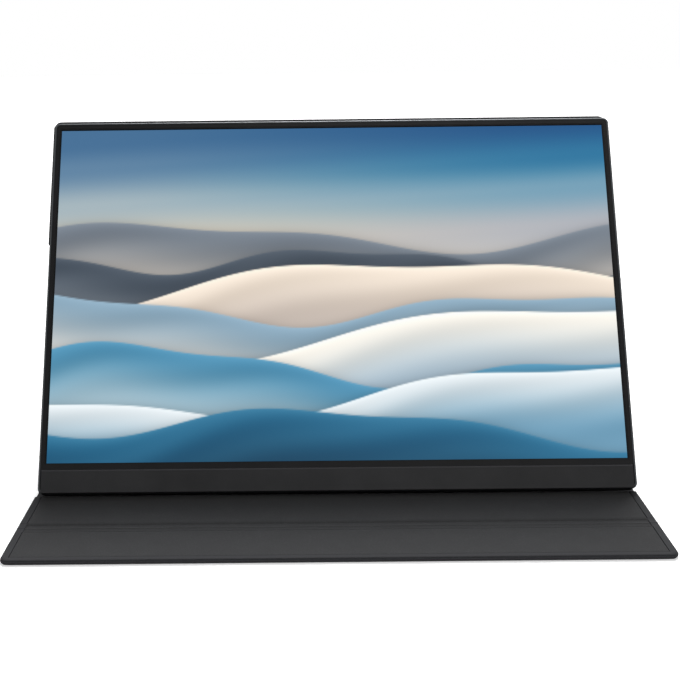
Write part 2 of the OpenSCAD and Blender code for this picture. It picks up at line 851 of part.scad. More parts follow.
rear_shell();
bezel_frame();
chin_plate();
foam_seal();
lcd_panel();
optical_films();
light_guide();
reflector_sheet();
backlight_tray();
led_bar();
panel_driver_board();
panel_ribbon_cable();
main_board();
board_components();
usb_c_sockets();
mini_hdmi_socket();
headphone_socket();
board_screws();
speakers();
button_board();
tact_switches();
housing_magnets();
back_button();
down_button();
up_button();
menu_button();
power_button();
holder_skin();
holder_board();
holder_lining();
holder_magnets();
back_crease_leather();
leg_skin();
leg_board();
leg_lining();
leg_crease_leather();
spine_skin();
spine_board();
spine_lining();
spine_crease_leather();
flap_rear_skin();
flap_rear_board();
flap_rear_lining();
foot_groove_leather();
flap_middle_skin();
flap_middle_board();
flap_middle_lining();
flap_groove_leather();
flap_front_skin();
flap_front_board();
flap_front_lining();
flap_magnets();
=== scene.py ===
"""Portable flat screen standing in its folded leather cover, as photographed.

Metres, in the part's own frame: +X is the viewer's right, +Y points away from the viewer,
+Z is up, and the origin is on the table under the middle of the cover.
"""
import math

import bpy
import numpy as np
from mathutils import Matrix, Vector


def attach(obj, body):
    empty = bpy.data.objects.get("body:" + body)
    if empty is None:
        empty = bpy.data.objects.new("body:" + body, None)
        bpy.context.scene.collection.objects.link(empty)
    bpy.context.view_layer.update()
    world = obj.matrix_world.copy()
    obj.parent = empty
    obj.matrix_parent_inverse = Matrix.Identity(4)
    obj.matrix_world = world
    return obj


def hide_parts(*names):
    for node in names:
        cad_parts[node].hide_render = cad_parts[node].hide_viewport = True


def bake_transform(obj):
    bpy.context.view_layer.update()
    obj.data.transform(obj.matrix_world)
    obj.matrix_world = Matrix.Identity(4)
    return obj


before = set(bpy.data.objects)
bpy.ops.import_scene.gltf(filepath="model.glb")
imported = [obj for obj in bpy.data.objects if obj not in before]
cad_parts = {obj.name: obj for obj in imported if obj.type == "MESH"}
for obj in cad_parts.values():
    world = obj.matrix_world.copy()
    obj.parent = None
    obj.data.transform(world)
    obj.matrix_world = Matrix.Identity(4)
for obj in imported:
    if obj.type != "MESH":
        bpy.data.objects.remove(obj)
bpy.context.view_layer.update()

# ---------------------------------------------------------------- rear shell
# The housing's back and sides are one tray of bead-blasted, grey anodised aluminium.
# It is milled from sheet: the rear edges are rounded and the front rim has a bright cut
# chamfer, which is the thin light line that frames the screen.


def tone(code):
    """sRGB hex as three numbers from 0 to 1."""
    return np.array([int(code[i:i + 2], 16) for i in (1, 3, 5)]) / 255


def to_linear(c):
    """sRGB numbers to linear: c / 12.92 below 0.04045, else
    ((c + 0.055) / 1.055) ^ 2.4."""
    return np.where(c <= 0.04045, c / 12.92, ((c + 0.055) / 1.055) ** 2.4)


def linear(code):
    """sRGB hex as an opaque linear colour."""
    return (*to_linear(tone(code)).tolist(), 1.0)


def add(tree, kind, inputs=None, **settings):
    """Adds a shader node. An input is a value, or the output socket that feeds it."""
    made = tree.nodes.new(kind)
    for name, value in settings.items():
        setattr(made, name, value)
    for name, value in (inputs or {}).items():
        if isinstance(value, bpy.types.NodeSocket):
            tree.links.new(value, made.inputs[name])
        else:
            made.inputs[name].default_value = value
    return made


def surface(name, **constants):
    """A new material with one Principled shader. Returns the material, its tree and the
    shader. The constants go straight onto the shader's inputs."""
    material = bpy.data.materials.new(name)
    material.use_nodes = True
    tree = material.node_tree
    shader = tree.nodes["Principled BSDF"]
    for key, value in constants.items():
        shader.inputs[key.replace("_", " ")].default_value = value
    return material, tree, shader


def noise(tree, size, detail=2.0, rough=0.5):
    """Noise in object coordinates whose features are about size metres across."""
    where = add(tree, "ShaderNodeTexCoord").outputs["Object"]
    return add(tree, "ShaderNodeTexNoise", {
        "Vector": where, "Scale": 1 / size, "Detail": detail, "Roughness": rough,
    }).outputs["Fac"]


def between(tree, factor, low, high):
    """low + factor (high - low), for plain numbers."""
    return add(tree, "ShaderNodeMapRange", {
        "Value": factor, "To Min": low, "To Max": high}).outputs["Result"]


def two_tone(tree, factor, low, high):
    """Colour running from low to high as the factor goes from 0.3 to 0.7."""
    ramp = add(tree, "ShaderNodeValToRGB", {"Fac": factor})
    ramp.color_ramp.elements[0].position, ramp.color_ramp.elements[1].position = 0.3, 0.7
    ramp.color_ramp.elements[0].color, ramp.color_ramp.elements[1].color = (
        linear(low), linear(high))
    return ramp.outputs["Color"]


def bump(tree, shader, height, depth, strength):
    """Turns the shading normal by a height field depth metres deep."""
    made = add(tree, "ShaderNodeBump", {
        "Height": height, "Distance": depth, "Strength": strength})
    tree.links.new(made.outputs["Normal"], shader.inputs["Normal"])


def paint(material, *names):
    """Gives CAD nodes a material."""
    for name in names:
        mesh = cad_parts[name].data
        mesh.materials.clear()
        mesh.materials.append(material)


# Anodised aluminium: the blasted grain scatters the highlight, and the dye is uneven
# by a few percent over a few centimetres.
anodised, tree, shader = surface("anodised_aluminium", Metallic=1.0)
tree.links.new(two_tone(tree, noise(tree, 0.03, 3), "#303234", "#393b3d"),
               shader.inputs["Base Color"])
tree.links.new(between(tree, noise(tree, 0.002), 0.32, 0.42), shader.inputs["Roughness"])
bump(tree, shader, noise(tree, 0.00018, 1), 0.000012, 0.5)
paint(anodised, "rear_shell")

# ---------------------------------------------------------------- boards and sockets
# Behind the picture sit the main board with its chips and screws, the sockets on the
# right, two speakers, the button board and the magnets. They show only at the sockets'
# mouths, the speaker slots and the buttons.
steel, tree, shader = surface("plated_steel", Metallic=1.0, Roughness=0.3)
tree.links.new(two_tone(tree, noise(tree, 0.004, 3), "#9a9b9c", "#b4b5b6"),
               shader.inputs["Base Color"])
bump(tree, shader, noise(tree, 0.0006), 0.00001, 0.4)
paint(steel, "usb_c_sockets", "mini_hdmi_socket", "board_screws", "tact_switches",
      "housing_magnets", "holder_magnets", "flap_magnets", "backlight_tray")

moulded, tree, shader = surface("moulded_black_plastic", Roughness=0.5)
tree.links.new(two_tone(tree, noise(tree, 0.003), "#151617", "#1d1e20"),
               shader.inputs["Base Color"])
bump(tree, shader, noise(tree, 0.0003), 0.00001, 0.5)
paint(moulded, "headphone_socket", "speakers", "board_components", "foam_seal")

board, tree, shader = surface("green_circuit_board", Roughness=0.35)
tree.links.new(two_tone(tree, noise(tree, 0.0012, 3), "#0f3d25", "#17553a"),
               shader.inputs["Base Color"])
paint(board, "main_board", "panel_driver_board", "button_board")

flex, tree, shader = surface("polyimide_ribbon", Roughness=0.4)
tree.links.new(two_tone(tree, noise(tree, 0.001), "#8a5a22", "#a06a2c"),
               shader.inputs["Base Color"])
paint(flex, "panel_ribbon_cable")

# Grey board inside the cover: pressed paper pulp, with fibres that show as flecks.
pulp, tree, shader = surface("grey_board", Roughness=0.95)
tree.links.new(two_tone(tree, noise(tree, 0.0009, 4), "#777062", "#968d7c"),
               shader.inputs["Base Color"])
paint(pulp, "holder_board", "leg_board", "spine_board", "flap_rear_board",
      "flap_middle_board", "flap_front_board")

# ---------------------------------------------------------------- display
# The liquid crystal panel is one sheet of anti-glare glass over its films and light
# guide. Beyond the lit picture its edge is black, a thin line inside the bezel.
glass, tree, shader = surface("anti_glare_glass", Roughness=0.28, Specular_IOR_Level=0.1)
tree.links.new(two_tone(tree, noise(tree, 0.01), "#030404", "#050606"),
               shader.inputs["Base Color"])
paint(glass, "lcd_panel")

film, tree, shader = surface("diffuser_film", Roughness=0.7)
tree.links.new(two_tone(tree, noise(tree, 0.002), "#d8dadb", "#e4e6e7"),
               shader.inputs["Base Color"])
paint(film, "optical_films", "light_guide", "reflector_sheet", "led_bar")

# ---------------------------------------------------------------- lit picture
# What the screen shows: folds of coloured silk under a deep blue ground, a design of
# its own. It is a thin lit sheet on the glass, whose colours are worked out per point.
PICTURE_W, PICTURE_H, PICTURE_Y = 0.3447, 0.2154, 0.0185
GLASS_Z, LIFT, SCREEN_SHIFT = 0.0082, 0.00003, 0.0011

# The screen's place follows from the stand, in which holder and leg lean together over
# the cover's base. From the lean, the height of the crease behind the screen and the
# leg's length come that crease's rise above the base, its way back from the housing's
# foot, and the leg's way on from it. The footprint is centred on Y = 0.
LEAN = math.radians(30)
COVER_T, CREASE_T, HOLDER_GAP, FOOT_GAP = 0.0028, 0.0013, 0.0001, 0.0003
CREASE_HEIGHT, LEG_L = 0.157, 0.1585
FOOT_SETBACK, MIDDLE_L, FLAP_GROOVE_W, FRONT_L = 0.003, 0.0427, 0.0113, 0.0395
behind = HOLDER_GAP + COVER_T
back_rise = CREASE_HEIGHT * math.cos(LEAN) - behind * math.sin(LEAN) + FOOT_GAP
back_run = CREASE_HEIGHT * math.sin(LEAN) + behind * math.cos(LEAN)
leg_run = math.sqrt(LEG_L ** 2 + CREASE_T ** 2 - back_rise ** 2)
flap_reach = FOOT_SETBACK + MIDDLE_L + FLAP_GROOVE_W + FRONT_L
LEG_Y = round((flap_reach + back_run + leg_run - CREASE_T) / 2, 6)
FOOT = np.array([0.0, LEG_Y - back_run - leg_run, CREASE_T + FOOT_GAP])


def stand(points, origin, tilt):
    """Turns local points by tilt about X, then moves them to origin:
    (x, y, z) -> origin + (x, y cos t - z sin t, y sin t + z cos t)."""
    c, s = math.cos(tilt), math.sin(tilt)
    x, y, z = points[..., 0], points[..., 1], points[..., 2]
    return np.stack([x, y * c - z * s, y * s + z * c], -1) + np.asarray(origin)


def grid_faces(rows, cols, first=0, flip=False):
    """Faces of a rows by cols grid of points numbered along each row. With k the number
    of a point, its face is (k, k + 1, k + cols + 1, k + cols)."""
    k = first + np.arange((rows - 1) * cols).reshape(rows - 1, cols)[:, :-1]
    faces = np.stack([k, k + 1, k + cols + 1, k + cols], -1).reshape(-1, 4)
    return faces[:, ::-1] if flip else faces


def piece(name, points, faces, materials, slots=None):
    """A mesh object at the origin, smooth but for edges sharper than 40 degrees. Slots
    gives each face's material."""
    mesh = bpy.data.meshes.new(name)
    mesh.from_pydata(points.reshape(-1, 3).tolist(), [], faces.tolist())
    for material in materials:
        mesh.materials.append(material)
    if slots is not None:
        mesh.polygons.foreach_set("material_index", slots.astype(np.int32))
    mesh.polygons.foreach_set("use_smooth", np.ones(len(faces), bool))
    mesh.set_sharp_from_angle(angle=math.radians(40))
    mesh.update()
    made = bpy.data.objects.new(name, mesh)
    bpy.context.scene.collection.objects.link(made)
    return made


def smooth(t):
    """3 t^2 - 2 t^3, with t kept within 0 and 1."""
    t = np.clip(t, 0, 1)
    return t * t * (3 - 2 * t)


def blend_tones(stops, t):
    """Colour along a list of (place, hex) stops, eased from each one to the next."""
    colour = np.broadcast_to(tone(stops[0][1]), t.shape + (3,)).copy()
    for (low, _), (high, code) in zip(stops, stops[1:]):
        w = smooth((t - low) / (high - low))[..., None]
        colour = colour * (1 - w) + tone(code) * w
    return colour


def silk_colours(u, v):
    """Colours of the picture. The ground runs up from cream to blue, greyer at the left
    and deeper at the right. Each fold i covers what is below its crest
    c_i(u) = b_i + s_i (u - 1/2) + a_i sin(2 pi (f_i u + p_i))
             + a_i / 3 sin(2 pi (2.3 f_i u + 2 p_i)).
    Within it, with d = (c_i - v) / h_i, the colour runs from its crest tone to its foot
    tone, plus a sheen e^(-9 d) and pleats sin(2 pi (3 f_i u + 1.7 d + 3 p_i)) that fade
    with d. Behind each crest the colour is shaded by 0.12 e^(-(v - c_i) / 0.012)."""
    height, soft_edge = v - 0.10 * (u - 0.5), 0.005
    left = blend_tones([(0.50, "#f1e2c8"), (0.68, "#e2d4bf"), (0.80, "#a8b8bf"),
                        (0.92, "#5f84a4"), (1.0, "#436f97")], height)
    right = blend_tones([(0.50, "#d9d2cb"), (0.64, "#b3b6bd"), (0.76, "#74a0b8"),
                         (0.86, "#24749f"), (0.97, "#0d4f86")], height)
    side = smooth(u)[..., None]
    colour = left * (1 - side) + right * side
    # Each fold's b, s, a, f, p, h, crest tone and foot tone.
    folds = [
        (0.66, 0.02, 0.050, 0.9, 0.10, 0.22, "#66707c", "#cfc6bc"),
        (0.58, -0.05, 0.040, 1.3, 0.55, 0.20, "#37424f", "#8f97a0"),
        (0.52, 0.06, 0.055, 0.8, 0.80, 0.18, "#efe0cf", "#c9bcb2"),
        (0.44, -0.03, 0.045, 1.1, 0.30, 0.20, "#7c9bb0", "#dcdad5"),
        (0.36, 0.05, 0.060, 0.7, 0.62, 0.20, "#f3eee4", "#a9bfcf"),
        (0.27, -0.07, 0.045, 1.2, 0.05, 0.18, "#3f84a8", "#a2bfcd"),
        (0.19, 0.06, 0.050, 0.9, 0.45, 0.18, "#dbe3e7", "#6f9fbb"),
        (0.10, -0.05, 0.045, 1.0, 0.75, 0.20, "#1b6388", "#0d425f"),
    ]
    for base, slope, swing, waves, phase, depth, crest, foot in folds:
        line = (base + slope * (u - 0.5) + swing * np.sin(2 * np.pi * (waves * u + phase))
                + swing / 3 * np.sin(2 * np.pi * (2.3 * waves * u + 2 * phase)))
        d = (line - v) / depth
        body = blend_tones([(0.0, crest), (1.0, foot)], d)
        deep = np.clip(d, 0, 9)
        sheen = 0.12 * np.exp(-9 * deep)
        pleat = (0.05 * np.sin(2 * np.pi * (3 * waves * u + 1.7 * d + 3 * phase))
                 * (1 - np.exp(-4 * deep)) * np.exp(-1.5 * deep))
        body = body + (sheen + pleat)[..., None]
        cover = smooth((line - v) / soft_edge + 0.5)[..., None]
        colour = colour * (1 - cover) + body * cover
        under = 0.12 * np.exp(-np.clip(v - line, 0, 1) / 0.012) * (1 - cover[..., 0])
        colour = colour * (1 - under[..., None])
    return np.clip(colour, 0, 1)


cols, rows = 384, 240
u, v = np.meshgrid(np.linspace(0, 1, cols), np.linspace(0, 1, rows))
sheet = np.stack([(u - 0.5) * PICTURE_W, PICTURE_Y + v * PICTURE_H,
                  np.full_like(u, GLASS_Z + LIFT)], -1)
picture_points = stand(sheet, FOOT + [SCREEN_SHIFT, 0, 0], math.pi / 2 - LEAN)

# Lit pixels: the light comes from the panel itself, so the colour goes out as it is, and
# the matte glass in front adds only a faint haze.
lit, tree, shader = surface("lit_pixels", Base_Color=linear("#060708"), Roughness=0.45,
                            Specular_IOR_Level=0.12, Emission_Strength=0.97)
shown = add(tree, "ShaderNodeAttribute", attribute_name="silk")
tree.links.new(shown.outputs["Color"], shader.inputs["Emission Color"])

picture = piece("lit_picture", picture_points, grid_faces(rows, cols), [lit])
silk = to_linear(silk_colours(u, v).reshape(-1, 3))
layer = picture.data.color_attributes.new("silk", "FLOAT_COLOR", "POINT")
layer.data.foreach_set("color", np.c_[silk, np.ones(len(silk))].astype(np.float32).ravel())
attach(picture, "monitor")

# ---------------------------------------------------------------- bezel and chin plate
# The bezel is a matte moulded frame that sits just below the metal rim, with a finer
# lip round its opening. The chin plate below it is metal with satin dark paint.
bezel, tree, shader = surface("matte_bezel_plastic", Specular_IOR_Level=0.09)
tree.links.new(two_tone(tree, noise(tree, 0.02, 3), "#0f0f10", "#151516"),
               shader.inputs["Base Color"])
tree.links.new(between(tree, noise(tree, 0.0015), 0.34, 0.44), shader.inputs["Roughness"])
bump(tree, shader, noise(tree, 0.00025, 1), 0.000015, 0.6)
paint(bezel, "bezel_frame")

satin, tree, shader = surface("satin_dark_paint", Metallic=0.1,
                              Specular_IOR_Level=0.1)
painted = two_tone(tree, noise(tree, 0.03, 3), "#222223", "#2a2a2b")
# Painted highlight: its upper edge is painted lighter over a band 1.6 mm deep below its
# top, standing in for light caught on the edge.
HIGHLIGHT_BAND_H = 0.0016
top = max(corner[2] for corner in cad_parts["chin_plate"].bound_box)
where = add(tree, "ShaderNodeTexCoord").outputs["Object"]
height = add(tree, "ShaderNodeSeparateXYZ", {"Vector": where}).outputs["Z"]
painted_highlight = add(tree, "ShaderNodeMapRange", {
    "Value": height, "From Min": top - HIGHLIGHT_BAND_H, "From Max": top}).outputs["Result"]
tree.links.new(add(tree, "ShaderNodeVectorMath", {
    0: painted, 1: two_tone(tree, painted_highlight, "#000000", "#363638")},
    operation="MAXIMUM").outputs["Vector"], shader.inputs["Base Color"])
tree.links.new(between(tree, noise(tree, 0.001), 0.38, 0.48), shader.inputs["Roughness"])
bump(tree, shader, noise(tree, 0.0002, 1), 0.00001, 0.5)
paint(satin, "chin_plate")

# ---------------------------------------------------------------- side buttons
# Five small caps in the left side. Their tops are polished by fingers, so they are a
# little smoother than the bezel's plastic.
cap, tree, shader = surface("button_plastic", Roughness=0.4)
tree.links.new(two_tone(tree, noise(tree, 0.002), "#1e1f21", "#27282a"),
               shader.inputs["Base Color"])
bump(tree, shader, noise(tree, 0.0003, 1), 0.000008, 0.5)
paint(cap, "back_button", "down_button", "up_button", "menu_button", "power_button")

# ---------------------------------------------------------------- cover panels
# One sheet of coated leather is wrapped round six stiff boards. It turns over their
# edges, and the turned hem frames the lining. Between boards the sheet is pressed into
# a crease, and there each board's end shows as a soft step.
COVER_W, SKIN_T, HEM, CORNER_R, PADDED = 0.357, 0.0006, 0.0045, 0.005, 0.0001
EDGE_R, END_R, END_BACK_R = 0.0011, 0.0009, 0.00035
HALF_CREASE, SPINE_W, FOOT_GROOVE_W = 0.0033, 0.0125, 0.012
HOUSING_H, OVERHANG = 0.2387, 0.0059
SPINE_Y = LEG_Y - SPINE_W
GROOVE_FRONT = round(FOOT[1] - FOOT_SETBACK, 6)
GROOVE_REAR = GROOVE_FRONT + FOOT_GROOVE_W
MIDDLE_FRONT = GROOVE_FRONT - MIDDLE_L
FRONT_REAR = MIDDLE_FRONT - FLAP_GROOVE_W
FRONT_EDGE = FRONT_REAR - FRONT_L
BACK_CREASE = FOOT[1] + back_run, CREASE_T + back_rise
LEG_TILT = math.atan(leg_run / back_rise) + math.atan(CREASE_T / LEG_L)

# Coated leather: an embossed grain of dots 0.8 mm apart in nearly even rows. The coating
# is dull on the dots and darker and smoother in the valleys between them.


def dots(tree, pitch, uneven):
    """Height of an embossed dot grain: 1 at a cell's centre, falling to 0 at 0.55 of the
    pitch. Uneven 0 sets the cells in even rows, 1 scatters them."""
    where = add(tree, "ShaderNodeTexCoord").outputs["Object"]
    cell = add(tree, "ShaderNodeTexVoronoi", {
        "Vector": where, "Scale": 1 / pitch, "Randomness": uneven}).outputs["Distance"]
    return add(tree, "ShaderNodeMapRange", {
        "Value": cell, "From Min": 0.05, "From Max": 0.55, "To Min": 1.0, "To Max": 0.0},
        interpolation_type="SMOOTHSTEP").outputs["Result"]


leather, tree, shader = surface("coated_leather", Specular_IOR_Level=0.07)
grain = dots(tree, 0.0008, 0.35)
tree.links.new(two_tone(tree, grain, "#29292b", "#37373a"), shader.inputs["Base Color"])
tree.links.new(between(tree, grain, 0.7, 0.9), shader.inputs["Roughness"])
bump(tree, shader, grain, 0.00005, 0.7)

# Lining: a cloth of short pile with a flat, even grain 0.7 mm apart, and brushed patches
# about a centimetre wide that lie lighter or darker.
lining, tree, shader = surface("lining_cloth", Roughness=0.8, Sheen_Weight=0.05,
                               Sheen_Roughness=0.5, Specular_IOR_Level=0.08)
patch = noise(tree, 0.012, 4, 0.6)
weave = dots(tree, 0.0007, 0.25)
tuft = add(tree, "ShaderNodeMath", {0: between(tree, patch, 0.0, 0.45),
                                    1: between(tree, weave, 0.0, 0.55)}, operation="ADD")
tree.links.new(two_tone(tree, tuft.outputs["Value"], "#262627", "#373738"),
               shader.inputs["Base Color"])
bump(tree, shader, weave, 0.00004, 0.7)


def edge_steps(r, count=7):
    """Distances r (1 - cos a) from an edge, at which a quarter round of radius r is cut."""
    return r * (1 - np.cos(np.linspace(0, math.pi / 2, count)))


def along(length, start, end, inner):
    """Places of the grid's lines from 0 to length. Each end has the steps of its round,
    then the hem's lines where it is hemmed, or one line 2 mm in where it is open. Between
    them lie inner even steps."""
    hem = HEM + np.array([-0.0009, -0.0003, -0.00015, 0, 0.00012, 0.0004, 0.0012])
    low, high = (np.r_[edge_steps(EDGE_R), hem] if hemmed
                 else np.r_[edge_steps(END_R), 0.002] for hemmed in (start, end))
    middle = np.linspace(low[-1], length - high[-1], inner + 2)[1:-1]
    return np.r_[low, middle, length - high[::-1]]


def panel_grid(width, length, start, end):
    """Plan of a panel with corners rounded at its hemmed ends. Within the border, a
    column keeps its distance from the side, and the columns between share the rest. The
    half width at y is W/2 - R + sqrt(R^2 - (R - y)^2) within R of a hemmed end."""
    border, inner_rows, inner_cols = 0.012, 12, 40
    y = along(length, start, end, inner_rows)
    across = along(width, True, True, inner_cols)
    half = np.full_like(y, width / 2)
    for near, hemmed in ((y, start), (length - y, end)):
        if hemmed:
            gap = np.clip(CORNER_R - near, 0, CORNER_R)
            half -= CORNER_R - np.sqrt(CORNER_R ** 2 - gap ** 2)
    side = np.where(across < width / 2, across, width - across)
    share = 1 - (side - border) / (width / 2 - border)
    x = np.where(side < border, half[:, None] - side, (half[:, None] - border) * share)
    return x * np.sign(across - width / 2), np.repeat(y[:, None], len(across), 1)


def edge_distance(x, y, width, length, start, end):
    """Distance from a point of the plan to the hemmed outline: the least of the distances
    to its straight edges, or R - |p - c| inside a corner of centre c."""
    s = width / 2 - np.abs(x)
    for near, hemmed in ((y, start), (length - y, end)):
        if hemmed:
            px, py = np.abs(x) - (width / 2 - CORNER_R), CORNER_R - near
            corner = CORNER_R - np.hypot(px, py)
            s = np.where((px > 0) & (py > 0), corner, np.minimum(s, near))
    return s


def rounded(s, r):
    """How far a quarter round of radius r falls at distance s from its edge:
    r - sqrt(r^2 - (r - s)^2)."""
    gap = np.clip(r - s, 0, r)
    return r - np.sqrt(np.maximum(r * r - gap * gap, 0))


def closed_sheet(x, y, low, high):
    """Joins two grids of heights over one plan, and a wall between their rims. Returns
    the points, the faces and, for each face, 0 on the low side and wall, 1 on the high."""
    rows, cols = x.shape
    points = np.concatenate([np.stack([x, y, low], -1).reshape(-1, 3),
                             np.stack([x, y, high], -1).reshape(-1, 3)])
    n = rows * cols
    number = np.arange(n).reshape(rows, cols)
    rim = np.r_[number[0], number[1:, -1], number[-1, -2::-1], number[-2:0:-1, 0]]
    after = np.roll(rim, -1)
    wall = np.stack([rim, after, after + n, rim + n], -1)
    under, over = grid_faces(rows, cols, 0, True), grid_faces(rows, cols, n)
    faces = np.concatenate([under, over, wall])
    kind = np.r_[np.zeros(len(under)), np.ones(len(over)), np.zeros(len(wall))]
    return points, faces, kind


def wrapped_panel(name, body, length, start, end, origin, tilt, nodes):
    """Leather of one panel. Its outer face is z = rounded(s, r), its inner face
    z = T - rounded(s, r). With e the distance from a hemmed edge, the hem swells by
    0.08 mm sin(pi e / HEM), and past it the face drops by the leather's thickness over
    0.15 mm, where the lining lies. At an open end both faces fall away with the ends' own
    radii."""
    swelling, cut = 0.00008, 0.00015
    x, y = panel_grid(COVER_W, length, start, end)
    s = edge_distance(x, y, COVER_W, length, start, end)
    low, high = rounded(s, EDGE_R), COVER_T - rounded(s, EDGE_R)
    inner = COVER_W / 2 - np.abs(x)
    for near, hemmed in ((y, start), (length - y, end)):
        if hemmed:
            inner = np.minimum(inner, near)
        else:
            low = np.maximum(low, rounded(near, END_BACK_R))
            high = np.minimum(high, COVER_T - rounded(near, END_R))
    swell = swelling * np.sin(np.pi * np.clip(inner / HEM, 0, 1))
    drop = SKIN_T * smooth((inner - HEM + cut) / cut)
    points, faces, _ = closed_sheet(x, y, low, high + swell - drop)
    made = piece(name, stand(points, origin, tilt), faces, [leather])
    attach(made, body)
    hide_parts(*nodes)


def lining_sheet(name, body, length, start, end, origin, tilt, nodes):
    """Lining of one panel, let in between the hems with a gap of 0.12 mm. It is padded
    to z = T - 0.1 mm, its rim falls away with a round of 0.3 mm, and its underside lies
    bedded below the leather's inner edge."""
    gap, rim, bed, clear = 0.00012, 0.0003, 0.0006, 0.00002
    rows, cols, cuts = 16, 60, 6
    low_y = HEM + gap if start else clear
    high_y = length - HEM - gap if end else length - clear
    half = COVER_W / 2 - HEM - gap
    steps, ends = edge_steps(rim, cuts), edge_steps(END_R, cuts)
    ys = np.sort(np.r_[low_y + (steps if start else ends),
                       np.linspace(low_y, high_y, rows)[1:-1],
                       high_y - (steps if end else ends)[::-1]])
    xs = np.sort(np.r_[-half + steps, np.linspace(-half, half, cols)[1:-1],
                       half - steps[::-1]])
    x, y = np.meshgrid(xs, ys)
    high = COVER_T - PADDED - rounded(half - np.abs(x), rim)
    for near, hemmed in ((y - low_y, start), (high_y - y, end)):
        high = np.minimum(high, COVER_T - PADDED - rounded(near, rim if hemmed else END_R))
    points, faces, _ = closed_sheet(x, y, np.full_like(x, COVER_T - SKIN_T - bed), high)
    made = piece(name, stand(points, origin, tilt), faces, [lining])
    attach(made, body)
    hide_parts(*nodes)


UP = math.pi / 2 - LEAN
LEG_UP = math.pi / 2 + LEG_TILT
back = stand(np.array([0.0, CREASE_HEIGHT + HALF_CREASE, -HOLDER_GAP - COVER_T]), FOOT, UP)
leg_foot = stand(np.array([0.0, HALF_CREASE, -CREASE_T]), [0, LEG_Y, CREASE_T], LEG_UP)
# Each panel's length, whether its start and end are hemmed, its origin and its tilt.
panels = [
    ("holder", HOUSING_H + OVERHANG - CREASE_HEIGHT - HALF_CREASE, False, True, back, UP),
    ("leg", LEG_L - 2 * HALF_CREASE, False, False, leg_foot, LEG_UP),
    ("spine", LEG_Y - SPINE_Y - 2 * HALF_CREASE, False, False,
     [0, SPINE_Y + HALF_CREASE, 0], 0.0),
    ("flap_rear", SPINE_Y - HALF_CREASE - GROOVE_REAR, False, False,
     [0, GROOVE_REAR, 0], 0.0),
    ("flap_middle", GROOVE_FRONT - MIDDLE_FRONT, False, False, [0, MIDDLE_FRONT, 0], 0.0),
    ("flap_front", FRONT_REAR - FRONT_EDGE, True, False, [0, FRONT_EDGE, 0], 0.0),
]
for part, *plan in panels:
    wrapped_panel(part + "_wrap", part, *plan, [part + "_skin"])
    lining_sheet(part + "_lining_cloth", part, *plan, [part + "_lining"])

# ---------------------------------------------------------------- creases
# Where there is no board, leather and lining are pressed together into a crease. The
# lining slopes down off one board's edge and up onto the next, and the hems run on at
# both sides. Fine wrinkles lie along the fold. Behind, the two tight folds of the stand
# are cut back a little, which shows as a notch in the cover's outline.
NOTCH, SIDE_INSET, TUCK = 0.0009, 0.0001, 0.0004
FLAT_SIDE, RIM_R, SLOPE_L = 0.007, 0.0006, 0.0019
WRINKLE, WRINKLE_PITCH, SWAY, SWAY_L = 0.00004, 0.0013, 0.3, 0.023
WRINKLE_FROM, WRINKLE_FADE = 0.001, 0.002
LINE_DEPTH, LINE_W, RIDGE_W = 0.00012, 0.00016, 0.0006
BUNCH, OUTER_DIP, OUTER_DIP_L = 0.00022, 0.00008, 0.0012
# How far the near and the far face keep inside the solid's, as lining or as leather.
NEAR_LINING, NEAR_LEATHER, FAR_LINING, FAR_LEATHER = 0.00002, 0.00004, 0.00003, 0.00004


def crease_rows(hinge, before, after, reach):
    """Rows of a crease in the YZ plane, as foot points and unit normals. It runs straight
    up to the hinge with the normal n at angle before, turns to angle after, and runs on.
    Its direction is (-n_z, n_y). The rows lie closer together near both ends."""
    run_rows, arc_rows = 15, 16
    t = np.linspace(0, 1, run_rows)
    run = (reach + TUCK) * (1 - smooth(t) * 0.5 - 0.5 * t)
    straight = before == after
    bend = [] if straight else np.linspace(before, after, arc_rows + 2)[1:-1]
    out = run[::-1][straight:]
    angle = np.r_[np.full(len(run), before), bend, np.full(len(out), after)]
    normals = np.stack([np.cos(angle), np.sin(angle)], -1)
    way = np.r_[-run, np.zeros(len(bend)), out]
    feet = way[:, None] * np.stack([-normals[:, 1], normals[:, 0]], -1)
    return feet + np.asarray(hinge), normals


